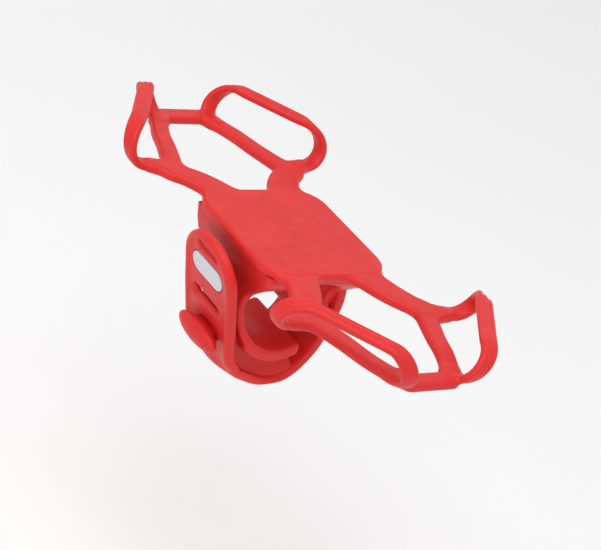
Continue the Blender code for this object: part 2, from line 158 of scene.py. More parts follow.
def ribbon(x, y, path):
    """Distance in a plane to a ribbon. Each row of path is x, y and half width."""
    result = np.full(x.shape, 1000.0)
    for (ax, ay, ar), (bx, by, br) in zip(path, path[1:]):
        dx, dy = bx - ax, by - ay
        t = np.clip(((x - ax) * dx + (y - ay) * dy) / (dx * dx + dy * dy), 0.0, 1.0)
        reach = np.hypot(x - ax - t * dx, y - ay - t * dy) - (ar + (br - ar) * t)
        result = np.minimum(result, reach)
    return result


def stadium(x, y, length, height):
    """Distance in a plane to a bar with round ends."""
    over = np.maximum(np.abs(x) - (length - height) / 2, 0.0)
    return np.hypot(over, y) - height / 2


def rounded_square(x, y, half, radius):
    qx = np.abs(x) - half + radius
    qy = np.abs(y) - half + radius
    outside = np.hypot(np.maximum(qx, 0.0), np.maximum(qy, 0.0))
    return outside + np.minimum(np.maximum(qx, qy), 0.0) - radius


def slab(outline, height, half_t, edge):
    """A flat outline's distance turned into that of a slab with rounded edges."""
    a = outline + edge
    b = np.abs(height) - half_t + edge
    outside = np.hypot(np.maximum(a, 0.0), np.maximum(b, 0.0))
    return outside + np.minimum(np.maximum(a, b), 0.0) - edge


def arc_band(x, z, radius, half_t, start, end):
    """Distance in the XZ plane to an arc of some thickness with round ends."""
    middle, spread = (start + end) / 2, (end - start) / 2
    a = x * cos(middle) + z * sin(middle)
    b = np.abs(-x * sin(middle) + z * cos(middle))
    on_arc = np.abs(np.hypot(a, b) - radius)
    past_end = np.hypot(a - radius * cos(spread), b - radius * sin(spread))
    return np.where(np.arctan2(b, a) < spread, on_arc, past_end) - half_t


# ---------------------------------------------------------------- meshes from fields

def net_vertices(grid, values, step):
    """One vertex in each cell that the surface crosses, and the crossed edges by axis."""
    cells = tuple(n - 1 for n in values.shape)
    total = np.zeros(cells + (3,))
    count = np.zeros(cells)
    crossed = []
    for axis in range(3):
        low = [slice(None)] * 3
        high = [slice(None)] * 3
        low[axis], high[axis] = slice(None, -1), slice(1, None)
        a, b = values[tuple(low)], values[tuple(high)]
        cut = (a < 0.0) != (b < 0.0)
        place = grid[tuple(low)].copy()
        place[..., axis] += step * np.where(cut, a / np.where(cut, a - b, 1.0), 0.0)
        place *= cut[..., None]
        u, v = [k for k in range(3) if k != axis]
        for du in (0, 1):
            for dv in (0, 1):
                window = [slice(None)] * 3
                window[u], window[v] = slice(du, du + cells[u]), slice(dv, dv + cells[v])
                total += place[tuple(window)]
                count += cut[tuple(window)]
        crossed.append((cut, a < 0.0))
    used = count > 0
    number = np.full(cells, -1)
    number[used] = np.arange(used.sum())
    return total[used] / count[used][:, None], number, crossed


def net_faces(number, crossed):
    """A quad round each crossed edge, facing out."""
    faces = []
    for axis, (cut, inside) in enumerate(crossed):
        u, v = (axis + 1) % 3, (axis + 2) % 3
        window = [slice(None)] * 3
        window[u], window[v] = slice(1, -1), slice(1, -1)
        found = np.argwhere(cut[tuple(window)])
        found[:, u] += 1
        found[:, v] += 1
        corners = []
        for du, dv in ((-1, -1), (0, -1), (0, 0), (-1, 0)):
            cell = found.copy()
            cell[:, u] += du
            cell[:, v] += dv
            corners.append(number[tuple(cell.T)])
        quads = np.stack(corners, axis=1)
        turned = ~inside[tuple(found.T)]
        quads[turned] = quads[turned][:, ::-1]
        faces.append(quads)
    return np.vstack(faces)


def pull_onto(points, field, limit, rounds):
    """Move points along the field's slope until they lie on its zero surface."""
    nudge = 0.02
    for _ in range(rounds):
        value = field(points)
        slope = np.stack([(field(points + step) - value) / nudge for step in np.eye(3) * nudge], axis=1)
        steepness = np.maximum((slope ** 2).sum(axis=1), 0.05)
        move = -slope * (value / steepness)[:, None]
        length = np.linalg.norm(move, axis=1, keepdims=True)
        points = points + move * np.minimum(1.0, limit / np.maximum(length, 1e-9))
    return points


def even_out(points, quads, field, step):
    """Slide the vertices towards their neighbours' middle, then back onto the surface."""
    ends_a = np.concatenate([quads[:, k] for k in range(4)] * 2)
    ends_b = np.concatenate([np.roll(quads, -1, axis=1)[:, k] for k in range(4)]
                            + [np.roll(quads, 1, axis=1)[:, k] for k in range(4)])
    count = np.bincount(ends_a, minlength=len(points))
    for _ in range(2):
        sums = [np.bincount(ends_a, weights=points[ends_b, k], minlength=len(points)) for k in range(3)]
        points = points + 0.5 * (np.stack(sums, axis=1) / count[:, None] - points)
        points = pull_onto(points, field, step, 2)
    return points


def surface(field, low, high, step):
    """Vertices and quads of a field's zero surface inside a box."""
    axes = [np.arange(a, b + step, step) for a, b in zip(low, high)]
    grid = np.stack(np.meshgrid(*axes, indexing="ij"), axis=-1)
    values = field(grid.reshape(-1, 3)).reshape(grid.shape[:3])
    points, number, crossed = net_vertices(grid, values, step)
    quads = net_faces(number, crossed)
    points = pull_onto(points, field, step, 2)
    return even_out(points, quads, field, step), quads


def cap_open_rims(bm):
    rim = [e for e in bm.edges if e.is_boundary]
    for edge in rim:
        edge.smooth = False
    caps = bmesh.ops.edgeloop_fill(bm, edges=rim)["faces"]
    bmesh.ops.triangulate(bm, faces=caps)


def close_cuts(bm, planes):
    """Trim a mesh at planes given by a point and an outward normal, and cap the cuts."""
    for point, normal in planes:
        geometry = bm.verts[:] + bm.edges[:] + bm.faces[:]
        bmesh.ops.bisect_plane(bm, geom=geometry, dist=1e-9, plane_co=Vector(point) * MM,
                               plane_no=Vector(normal), clear_outer=True)
        cap_open_rims(bm)


def keep_biggest(bm):
    """Drop specks that aren't joined to the main shell."""
    left = set(bm.verts)
    shells = []
    while left:
        shell = {left.pop()}
        front = list(shell)
        while front:
            vert = front.pop()
            for edge in vert.link_edges:
                other = edge.other_vert(vert)
                if other not in shell:
                    shell.add(other)
                    front.append(other)
        left -= shell
        shells.append(shell)
    biggest = max(shells, key=len)
    spare = [v for shell in shells if shell is not biggest for v in shell]
    bmesh.ops.delete(bm, geom=spare, context="VERTS")


def finish_piece(bm, mesh, name, mat):
    """Turn a worked mesh into a smooth piece with its material."""
    bmesh.ops.recalc_face_normals(bm, faces=bm.faces)
    for face in bm.faces:
        face.smooth = True
    bm.to_mesh(mesh)
    bm.free()
    mesh.materials.append(mat)
    obj = bpy.data.objects.new(name, mesh)
    bpy.context.scene.collection.objects.link(obj)
    return obj


def make_piece(name, points, faces, mat, planes=()):
    """A smooth piece from points in millimetres, trimmed at planes."""
    mesh = bpy.data.meshes.new(name)
    mesh.from_pydata((points * MM).tolist(), [], faces.tolist())
    bm = bmesh.new()
    bm.from_mesh(mesh)
    keep_biggest(bm)
    close_cuts(bm, planes)
    return finish_piece(bm, mesh, name, mat)


# ---------------------------------------------------------------- materials

def new_material(name):
    """A material with its nodes, its links and its shader."""
    mat = bpy.data.materials.new(name)
    mat.use_nodes = True
    nodes = mat.node_tree.nodes
    return mat, nodes, mat.node_tree.links, nodes["Principled BSDF"]


def noise(nodes, links, scale, detail, roughness=0.5):
    where = nodes.new("ShaderNodeTexCoord")
    texture = nodes.new("ShaderNodeTexNoise")
    texture.inputs["Scale"].default_value = scale
    texture.inputs["Detail"].default_value = detail
    texture.inputs["Roughness"].default_value = roughness
    links.new(where.outputs["Object"], texture.inputs["Vector"])
    return texture.outputs["Fac"]


def spread(nodes, links, source, low, high, start=0.3, end=0.7):
    """Map a noise's middle range onto another range."""
    node = nodes.new("ShaderNodeMapRange")
    node.inputs["From Min"].default_value = start
    node.inputs["From Max"].default_value = end
    node.inputs["To Min"].default_value = low
    node.inputs["To Max"].default_value = high
    links.new(source, node.inputs["Value"])
    return node.outputs["Result"]


def mix_colours(nodes, links, share, first, second):
    node = nodes.new("ShaderNodeMix")
    node.data_type = "RGBA"
    node.inputs["A"].default_value = (*first, 1.0)
    node.inputs["B"].default_value = (*second, 1.0)
    links.new(share, node.inputs["Factor"])
    return node.outputs["Result"]


def silicone():
    """Satin red silicone: a little uneven in colour and gloss, with a fine moulded grain."""
    mat, nodes, links, shader = new_material("silicone_red")
    patches = spread(nodes, links, noise(nodes, links, 70.0, 3.0), 0.0, 1.0)
    colour = mix_colours(nodes, links, patches, (0.60, 0.015, 0.014), (0.67, 0.021, 0.019))
    links.new(colour, shader.inputs["Base Color"])
    gloss = spread(nodes, links, noise(nodes, links, 260.0, 4.0), 0.38, 0.52)
    links.new(gloss, shader.inputs["Roughness"])
    bump = nodes.new("ShaderNodeBump")
    bump.inputs["Strength"].default_value = 0.35
    bump.inputs["Distance"].default_value = 0.00006
    links.new(noise(nodes, links, 1900.0, 3.0, 0.6), bump.inputs["Height"])
    links.new(bump.outputs["Normal"], shader.inputs["Normal"])
    shader.inputs["Specular IOR Level"].default_value = 0.32
    return mat


def reflective_foil():
    """Grey retroreflective patch: fine prism cells under a clear face."""
    mat, nodes, links, shader = new_material("reflective_foil")
    where = nodes.new("ShaderNodeTexCoord")
    cells = nodes.new("ShaderNodeTexVoronoi")
    cells.feature = "DISTANCE_TO_EDGE"
    cells.inputs["Scale"].default_value = 2800.0
    links.new(where.outputs["Object"], cells.inputs["Vector"])
    walls = spread(nodes, links, cells.outputs["Distance"], 0.0, 1.0, 0.02, 0.2)
    colour = mix_colours(nodes, links, walls, (0.50, 0.51, 0.54), (0.66, 0.67, 0.70))
    links.new(colour, shader.inputs["Base Color"])
    gloss = spread(nodes, links, noise(nodes, links, 900.0, 2.0), 0.28, 0.42)
    links.new(gloss, shader.inputs["Roughness"])
    bump = nodes.new("ShaderNodeBump")
    bump.inputs["Strength"].default_value = 0.3
    bump.inputs["Distance"].default_value = 0.00004
    links.new(walls, bump.inputs["Height"])
    links.new(bump.outputs["Normal"], shader.inputs["Normal"])
    shader.inputs["Metallic"].default_value = 0.1
    shader.inputs["Coat Weight"].default_value = 0.4
    shader.inputs["Coat Roughness"].default_value = 0.15
    return mat


# ---------------------------------------------------------------- corner loops

BAND_POWER = 3.2                   # squareness of a band's section
GROOVE_U = 1.0                     # two soft grooves part a band's face into three ribs
GROOVE_DEPTH = 0.30
GROOVE_WIDTH = 0.38
GROOVE_START_Z = 22.0              # the grooves fade in from here to this much higher
GROOVE_RISE = 4.0
RING_POINTS = 56
PATH_STEP = 0.35


def grooved(u, depth):
    """Half thickness of a band's outer face at u across it."""
    return BAND_HALF_T - depth * np.exp(-((np.abs(u) - GROOVE_U) / GROOVE_WIDTH) ** 2)


def on_rim(points):
    """Move points onto the surface that a band's middle follows round the phone, with its normals."""
    core = np.stack((np.clip(points[:, 0], -RIM_X, RIM_X), np.clip(points[:, 1], -RIM_Y, RIM_Y),
                     np.full(len(points), RIM_Z)), axis=1)
    normals = points - core
    normals /= np.linalg.norm(normals, axis=1, keepdims=True)
    return core + normals * WRAP_R, normals


def round_rim(angle):
    """How far past a rim's axis, and how high, a band's middle is at an angle round it."""
    return WRAP_R * cos(angle), RIM_Z + WRAP_R * sin(angle)


def evenly(points, step):
    """The same line with its points a step apart."""
    along = np.concatenate(([0.0], np.cumsum(np.linalg.norm(np.diff(points, axis=0), axis=1))))
    places = np.linspace(0.0, along[-1], int(along[-1] / step) + 1)
    return np.stack([np.interp(places, along, points[:, k]) for k in range(3)], axis=1)


def blur(rows, width):
    """Gaussian smoothing along a list of rows, with its ends held."""
    reach = int(3 * width)
    weights = np.exp(-0.5 * (np.arange(-reach, reach + 1) / width) ** 2)
    weights /= weights.sum()
    padded = np.vstack((np.repeat(rows[:1], reach, axis=0), rows, np.repeat(rows[-1:], reach, axis=0)))
    return np.stack([np.convolve(padded[:, k], weights, mode="valid") for k in range(3)], axis=1)


def loop_path(side, end):
    """Middle line of a loop given as if it were the right upper one, from the phone's middle.

    side lists how far along the phone the band is at five angles round its long edge, and end how far from
    the middle it is at five angles round its short edge.
    """
    angles = (-90.0, -45.0, 0.0, 45.0, 90.0)
    points = [(26.0, side[0] - 1.4, WEB_Z)]
    for degrees, y in zip(angles, side):
        out, z = round_rim(radians(degrees))
        points.append((RIM_X + out, y, z))
    points.append(((RIM_X + end[0]) / 2, (side[-1] + RIM_Y) / 2, RIM_Z + WRAP_R))
    for degrees, x in zip(angles[::-1], end):
        out, z = round_rim(radians(degrees))
        points.append((x, RIM_Y + out, z))
    points.append((end[-1] - 0.3, 64.5, WEB_Z))
    path, normals = on_rim(blur(evenly(curve(points, 14), PATH_STEP), 6.0))
    normals = blur(normals, 3.0)
    along = blur(np.gradient(path, axis=0), 3.0)
    along /= np.linalg.norm(along, axis=1, keepdims=True)
    across = np.cross(normals, along)
    across /= np.linalg.norm(across, axis=1, keepdims=True)
    return path, along, across, np.cross(along, across)


# Each loop's path, its direction, the way across the band and the way out of its face
LOOPS = {
    ("upper", "left"): loop_path((41.2, 42.0, 43.4, 46.4, 50.8), (18.9, 16.7, 13.7, 11.3, 10.2)),
    ("upper", "right"): loop_path((41.2, 42.2, 43.8, 46.8, 51.2), (18.9, 16.7, 13.7, 11.3, 10.2)),
    ("lower", "left"): loop_path((39.8, 40.4, 41.7, 44.6, 48.6), (17.4, 15.2, 12.7, 10.9, 10.0)),
    ("lower", "right"): loop_path((39.6, 40.3, 41.5, 44.6, 49.4), (18.5, 16.2, 13.4, 11.3, 10.2)),
}


def band_field(points, loop, keep):
    """Distance to a loop's band for points from the phone's middle, near the path's kept samples."""
    path, along, across, up = (part[keep] for part in loop)
    result = np.full(len(points), FAR)
    near = np.ones(len(points), bool)
    for axis in range(3):
        near &= points[:, axis] > path[:, axis].min() - 6.0
        near &= points[:, axis] < path[:, axis].max() + 6.0
    some = points[near]
    if len(some):
        nearest = np.argmin(((some[:, None, :] - path[None]) ** 2).sum(axis=2), axis=1)
        offset = some - path[nearest]
        a = np.abs((offset * across[nearest]).sum(axis=1)) / BAND_HALF_W
        b = np.abs((offset * up[nearest]).sum(axis=1)) / BAND_HALF_T
        size = np.maximum((a ** BAND_POWER + b ** BAND_POWER) ** (1.0 / BAND_POWER), 1e-6)
        slope_a = (a / size) ** (BAND_POWER - 1.0) / BAND_HALF_W
        slope_b = (b / size) ** (BAND_POWER - 1.0) / BAND_HALF_T
        past = np.abs((offset * along[nearest]).sum(axis=1)) - 0.6
        result[near] = np.maximum((size - 1.0) / np.hypot(slope_a, slope_b), past)
    return result


def section_outline(count, depth):
    """Points round a band's section, with grooves of some depth in its outer face."""
    angle = 2 * pi * np.arange(count) / count
    c, s = np.cos(angle), np.sin(angle)
    power = 2.0 / BAND_POWER
    u = BAND_HALF_W * np.sign(c) * np.abs(c) ** power
    v = np.sign(s) * np.abs(s) ** power
    return u, v * np.where(v > 0.0, grooved(u, depth), BAND_HALF_T)


def into_quadrant(points, side, end):
    """Place points given for the right upper corner, from the phone's middle, into any corner."""
    return points * (side, end, 1.0) + (0.0, PHONE_Y, 0.0)


def foot_planes(side, end):
    """Planes at which the web and a loop meet on the side and on the end, with normals towards the web."""
    return [((RIM_X * side, 0.0, RIM_Z), (sin(SIDE_FOOT) * side, 0.0, -cos(SIDE_FOOT))),
            ((0.0, RIM_Y * end + PHONE_Y, RIM_Z), (0.0, sin(END_FOOT) * end, -cos(END_FOOT)))]


def band_rings(loop):
    """Points round a loop's section, for each sample of its path."""
    path, _, across, up = loop
    fade = np.clip((path[:, 2] - GROOVE_START_Z) / GROOVE_RISE, 0.0, 1.0)
    rings = []
    for i in range(len(path)):
        u, v = section_outline(RING_POINTS, GROOVE_DEPTH * fade[i])
        rings.append(path[i] + across[i] * u[:, None] + up[i] * v[:, None])
    return np.vstack(rings)


def tube_faces(first, last):
    """Quads that join each ring to the next."""
    faces = []
    for i in range(first * RING_POINTS, last * RING_POINTS, RING_POINTS):
        for k in range(RING_POINTS):
            n = (k + 1) % RING_POINTS
            faces.append((i + k, i + n, i + RING_POINTS + n, i + RING_POINTS + k))
    return faces


def trim_foot(bm, plane, in_foot):
    """Cut off what lies past a foot plane, among the faces that are in that foot."""
    faces = [f for f in bm.faces if in_foot(f.calc_center_median())]
    edges = [e for f in faces for e in f.edges]
    verts = [v for f in faces for v in f.verts]
    bmesh.ops.bisect_plane(bm, geom=list(dict.fromkeys(faces + edges + verts)), dist=1e-9,
                           plane_co=Vector(plane[0]) * MM, plane_no=Vector(plane[1]), clear_outer=True)


def make_loop(side, end, name, loop, mat):
    path = loop[0]
    points = into_quadrant(band_rings(loop), side, end)
    above = np.where(path[:, 2] > RIM_Z - 5.1)[0]
    mesh = bpy.data.meshes.new(name)
    mesh.from_pydata((points * MM).tolist(), [], tube_faces(above[0], above[-1]))
    bm = bmesh.new()
    bm.from_mesh(mesh)
    bmesh.ops.delete(bm, geom=[v for v in bm.verts if not v.link_faces], context="VERTS")
    low = RIM_Z * MM
    middle_y = (RIM_Y - 12.0) * MM
    side_plane, end_plane = foot_planes(side, end)
    trim_foot(bm, side_plane, lambda c: c.z < low and (c.y - PHONE_Y * MM) * end < middle_y)
    trim_foot(bm, end_plane, lambda c: c.z < low and (c.y - PHONE_Y * MM) * end >= middle_y)
    cap_open_rims(bm)
    return finish_piece(bm, mesh, name, mat)


# ---------------------------------------------------------------- web and pad

def web_outline(x, y, end):
    """Distance in plan to the arms, branches and link of one end, from the phone's middle."""
    x = np.abs(x)
    root_y = YOKE_Y + 0.3 - PHONE_Y * end
    knee_y = (root_y + 38.6) / 2
    corner = (10.9, 66.0, 2.9)
    arm = curve([(10.8, root_y - 8.0, 6.4), (12.9, root_y, 5.6), (17.0, knee_y, 4.8), (24.0, 38.4, 3.6),
                 (29.0, 40.2 + 0.5 * end, 2.6)], 6)
    branch = curve([(22.6, 37.2, 3.6), (20.4, 42.5, 3.4), (17.2, 50.5, 3.1), (14.6, 58.5, 3.0), corner], 5)
    link = [(0.0, 69.7, 3.0), (7.6, 69.7, 3.0), corner]
    web = smooth_min(ribbon(x, y, arm), ribbon(x, y, branch), 3.0)
    return smooth_min(web, ribbon(x, y, link), 1.6)


def plate_field(points, end):
    """The pad with one end's web: the flat plate behind the phone and the feet of its loops."""
    x, y, z = points.T
    pad = rounded_square(x, y, PAD_HALF, PAD_CORNER_R)
    local = np.stack((np.abs(x), (y - PHONE_Y) * end, z), axis=1)
    outline = smooth_min(pad, web_outline(x, local[:, 1], end), 4.0)
    plate = slab(outline, z - WEB_Z, WEB_HALF_T, 1.2)
    raised = slab(pad, z - (PAD_TOP - PAD_HALF_T), PAD_HALF_T, 0.9)
    plate = np.minimum(plate, raised)
    for hand, side in SIDES:
        loop = LOOPS["upper" if end > 0 else "lower", hand]
        near = x * side > 0.0
        low = loop[0][:, 2] < RIM_Z - 1.0
        at_end = loop[0][:, 1] > RIM_Y - 12.0
        for part in (low & at_end, low & ~at_end):
            foot = np.full(len(x), FAR)
            foot[near] = band_field(local[near], loop, part)
            plate = smooth_min(plate, foot, 1.0)
    return plate


def make_web(end, label, mat):
    y_low, y_high = sorted(((SEAM_Y - 1.0) * end, WEB_REACH_Y * end + PHONE_Y))
    points, quads = surface(lambda p: plate_field(p, end), (-39.2, y_low, 16.2), (39.2, y_high, 23.6),
                            WEB_CELL)
    planes = [((0.0, SEAM_Y * end, 0.0), (0.0, -end, 0.0))]
    left_plane, end_plane = foot_planes(-1, end)
    right_plane = foot_planes(1, end)[0]
    planes += [(point, tuple(-n for n in normal)) for point, normal in (left_plane, end_plane, right_plane)]
    web = make_piece(f"{label}_web", points, quads, mat, planes)
    nodes = [f"{label}_{hand}_{part}" for hand, _ in SIDES for part in ("arm", "branch")]
    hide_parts(f"{label}_link", *nodes)
    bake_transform(web)


def make_loops(end, label, mat):
    for hand, side in SIDES:
        corner = f"{label}_{hand}"
        loop = make_loop(side, end, f"{corner}_loop", LOOPS[label, hand], mat)
        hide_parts(f"{corner}_side_wrap", f"{corner}_front_strap", f"{corner}_end_wrap")
        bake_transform(loop)


def pad_field(points):
    return np.minimum(plate_field(points, 1), plate_field(points, -1))


def make_pad(mat):
    points, quads = surface(pad_field, (-24.0, -23.4, 16.2), (24.0, 23.4, 21.0), PAD_CELL)
    planes = [((0.0, SEAM_Y * end, 0.0), (0.0, end, 0.0)) for end in (-1, 1)]
    pad = make_piece("pad", points, quads, mat, planes)
    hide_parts("phone_pad")
    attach(pad, "root")


# ---------------------------------------------------------------- strap round the stem

def panel_point(s, out):
    return PANEL_UP * s + PANEL_OUT * out


def strap_centre():
    """Middle line of the strap in the XZ plane, from its root to the top of the tab.

    Returns the length along it, which equals the height s on the panel, the points and the outward normals.
    """
    bend = [(26.0, 18.6), (16.0, 19.7), (4.0, 19.8), (-8.0, 19.8), (-20.0, 19.9), (-45.0, 23.0),
            (-68.0, 26.1), (-90.0, 27.15), (-108.0, 27.15)]
    top = 30.0
    points = [(r * cos(radians(a)), 0.0, r * sin(radians(a))) for a, r in bend]
    points += [panel_point(s, PANEL_MID - sink) for s, sink in ((-18.4, 0.5), (-15.0, 0.0), (-10.0, 0.0))]
    points += [panel_point(s, PANEL_MID) for s in (0.0, 10.0, 20.0, top)]
    line = curve(points, 24)
    length = np.concatenate(([0.0], np.cumsum(np.linalg.norm(np.diff(line, axis=0), axis=1))))
    length += top - length[-1]
    along = np.gradient(line, axis=0)
    normals = np.stack((-along[:, 2], along[:, 1], along[:, 0]), axis=1)
    return length, line, normals / np.linalg.norm(normals, axis=1, keepdims=True)


STRAP = strap_centre()

# Along the strap: half its width, how far its edges curl in, and how far they thin out on the inside
WIDTH = ((-90.0, 9.5), (-70.0, 11.2), (-48.0, 12.6), (-38.0, 13.3), (-15.0, 13.2), (-9.0, 12.8), (3.0, 13.3))
CURL = ((-90.0, 0.0), (-60.0, 0.2), (-40.0, 0.5), (-31.0, 0.85), (-27.0, 1.2), (-23.0, 1.7), (-21.0, 2.2),
        (-19.0, 2.8), (-17.0, 2.6), (-15.0, 1.6), (-12.5, 0.4), (-10.0, 0.0))
THINNING = ((-60.0, 0.0), (-48.0, 1.5), (-40.0, 2.4), (-38.0, 2.4), (-35.0, 1.8), (-31.5, 1.0),
            (-28.0, 0.2), (-25.0, 0.0))


def along_strap(s, table):
    return np.interp(s, [row[0] for row in table], [row[1] for row in table])


def curl_at(s, across):
    return along_strap(s, CURL) * (np.abs(across) / STRAP_HALF_W) ** 1.7


def inner_face(s, across):
    """Height of the strap's inner face from its middle."""
    return -STRAP_HALF_T + along_strap(s, THINNING) * (np.abs(across) / STRAP_HALF_W) ** 5


def roll(points):
    """Place strap points given as length, across and out onto the strap's real course."""
    length, line, normals = STRAP
    s, across, out = points.T
    out = out - curl_at(s, across)
    centre = np.stack([np.interp(s, length, line[:, k]) for k in range(3)], axis=1)
    normal = np.stack([np.interp(s, length, normals[:, k]) for k in range(3)], axis=1)
    normal /= np.linalg.norm(normal, axis=1, keepdims=True)
    centre += normal * out[:, None]
    centre[:, 1] += across
    return centre


def bump_at(value, centre, width):
    return np.exp(-((value - centre) / width) ** 2)


def strap_outline(s, across):
    """Distance in plan to the flattened strap, which ends in a half round tab."""
    straight = np.abs(across) - along_strap(s, WIDTH)
    rise = TAB_TOP_S - TAB_SHOULDER_S
    reach = np.hypot(across / STRAP_HALF_W, np.maximum(s - TAB_SHOULDER_S, 0.0) / rise)
    return np.where(s > TAB_SHOULDER_S, (reach - 1.0) * 12.4, straight)


def strap_body(s, across, out):
    """The strap before its slots: a bead runs along the panel's edge, and a dish lies round the hook."""
    outline = strap_outline(s, across)
    panel = 1.0 / (1.0 + np.exp(-(s + 17.0) / 1.5))
    bead = 0.45 * panel * bump_at(outline, -1.9, 1.3)
    dish = bump_at(np.hypot(across / 8.6, (s - HOOK_S + 1.5) / 9.0), 0.0, 0.8)
    face = STRAP_HALF_T - 0.25 * panel + bead - dish
    back = inner_face(s, across)
    half_t = (face - back) / 2
    return slab(outline, out - (face + back) / 2, half_t, np.minimum(1.25, half_t))


def strap_field(points):
    """Distance to the flattened strap: s along it, across, and out from its middle."""
    s, across, out = points.T
    body = strap_body(s, across, out)
    free = stadium(across - FREE_SLOT_ACROSS, s - FREE_SLOT_S, *FREE_SLOT_SIZE)
    lip = np.interp(s, (FREE_SLOT_S - 1.3, FREE_SLOT_S + 1.3), (2.4, 1.1))
    lip += np.clip(0.1 * across, -0.5, 0.6)
    body = smooth_max(body, -free, lip)
    hook = stadium(across, s - HOOK_S, *HOOK_SLOT_SIZE)
    body = smooth_max(body, -hook, 1.2)
    socket = stadium(across, s - REFLECTOR_S, REFLECTOR_SIZE[0] + 0.5, REFLECTOR_SIZE[1] + 0.5)
    body = smooth_max(body, -np.maximum(socket, STRAP_HALF_T - SOCKET_DEPTH - out), 0.5)
    grip = stadium(across, s - GRIP_S, *GRIP_SIZE)
    return smooth_max(body, -np.maximum(grip, STRAP_HALF_T - GRIP_DEPTH - out), 1.1)


def strap_piece(name, s_low, s_high, planes, mat):
    low = (s_low - 1.0, -STRAP_HALF_W - 0.8, -STRAP_HALF_T - 0.7)
    high = (s_high + 1.0, STRAP_HALF_W + 0.8, STRAP_HALF_T + 1.2)
    points, quads = surface(strap_field, low, high, STRAP_CELL)
    obj = make_piece(name, points, quads, mat, planes)
    co = np.array([v.co for v in obj.data.vertices]) / MM
    obj.data.vertices.foreach_set("co", (roll(co) * MM).ravel())
    obj.data.update()
    return obj


def make_strap(mat):
    root_s = STRAP[0][0] + 1.0
    ends = [((root_s, 0.0, 0.0), (-1.0, 0.0, 0.0)), ((STRAP_SEAM_S, 0.0, 0.0), (1.0, 0.0, 0.0))]
    belt = strap_piece("strap_belt_piece", root_s, STRAP_SEAM_S, ends, mat)
    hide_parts("strap_root", "strap_belt")
    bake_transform(belt)
    ends = [((STRAP_SEAM_S, 0.0, 0.0), (-1.0, 0.0, 0.0))]
    tab = strap_piece("strap_tab_piece", STRAP_SEAM_S, TAB_TOP_S + 0.5, ends, mat)
    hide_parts("strap_side", "pull_tab")
    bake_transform(tab)


def reflector_field(points):
    s, across, out = points.T
    outline = stadium(across, s - REFLECTOR_S, *REFLECTOR_SIZE)
    return slab(outline, out - (STRAP_HALF_T - 0.45), 0.35, 0.15)


def make_reflector(mat):
    low = (REFLECTOR_S - 5.0, -10.0, 0.2)
    high = (REFLECTOR_S + 5.0, 10.0, 2.2)
    points, quads = surface(reflector_field, low, high, PATCH_CELL)
    patch = make_piece("reflector_patch", roll(points), quads, mat)
    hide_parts("reflector")
    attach(patch, "side")


# ---------------------------------------------------------------- saddle and hook

# Half width of the saddle at a height, on its near and its far side, and how far out its walls are
WAIST = curve([(-24.0, 13.3), (-18.5, 13.3), (-14.0, 12.9), (-10.5, 11.9), (-6.5, 10.6), (-2.6, 9.5),
               (1.0, 9.0), (4.2, 10.0), (7.6, 13.1), (11.0, 17.4), (14.5, 20.5), (17.5, 20.9),
               (20.0, 20.9)], 12)
FAR_WAIST = curve([(-24.0, 13.3), (-18.5, 13.3), (-14.0, 12.9), (-10.5, 11.9), (-6.5, 10.4), (-2.6, 9.1),
                   (1.0, 9.0), (3.6, 11.6), (6.0, 17.0), (8.4, 20.3), (11.0, 20.9), (14.5, 20.9),
                   (20.0, 20.9)], 12)
LEFT_WALL = curve([(-2.0, 17.7), (2.0, 17.5), (5.0, 17.4), (7.4, 18.2), (9.8, 19.1), (13.2, 20.5),
                   (17.5, 21.9)], 8)
RIGHT_WALL = curve([(-2.0, 18.6), (2.0, 19.8), (6.0, 20.8), (9.0, 21.1), (12.5, 21.5), (17.5, 21.9)], 8)


def at_height(z, table):
    return np.interp(z, table[:, 0], table[:, 1])


def strap_offset(x, z):
    """Length along the strap's middle line, and signed distance out from it, in the XZ plane."""
    length, line, normals = (part[::6] for part in STRAP)
    flat = np.stack((x, z), axis=1)
    nearest = np.argmin(((flat[:, None, :] - line[None][:, :, ::2]) ** 2).sum(axis=2), axis=1)
    offset = flat - line[nearest][:, ::2]
    out_x, out_z = normals[nearest][:, ::2].T
    return (length[nearest] + offset[:, 0] * out_z - offset[:, 1] * out_x,
            offset[:, 0] * out_x + offset[:, 1] * out_z)


def heel_field(x, y, z, reach):
    """Wedge between the left leg and the strap: hollow under the leg's rim, flaring to the strap's edge."""
    result = np.full(x.shape, FAR)
    near = (x < 13.0) & (z < 4.0) & (reach > 13.0) & (x > -26.0)
    x, y, z, reach = x[near], y[near], z[near], reach[near]
    s, offset = strap_offset(x, z)
    to_strap = offset + curl_at(s, y) - inner_face(s, y) - HEEL_SINK
    section = np.maximum(to_strap, HEEL_INNER_R - reach)
    top = (x * PANEL_UP[0] + z * PANEL_UP[2]) - HEEL_TOP_S
    section = smooth_max(section, top, 2.0)
    tail = reach * np.sin(np.arctan2(z, x) - HEEL_TAIL)
    section = smooth_max(section, tail, 2.0)
    share = np.clip((reach - LEG_R) / np.maximum(reach - LEG_R - to_strap, 0.5), 0.0, 1.0)
    root = at_height(z, WAIST) - 5.0
    flare = (HEEL_HALF_W - root) * share ** 2.6 * np.interp(s, (-32.0, -22.0), (1.0, 0.5))
    result[near] = smooth_max(section, (np.abs(y) - root - flare) * 0.8, 0.8)
    return result


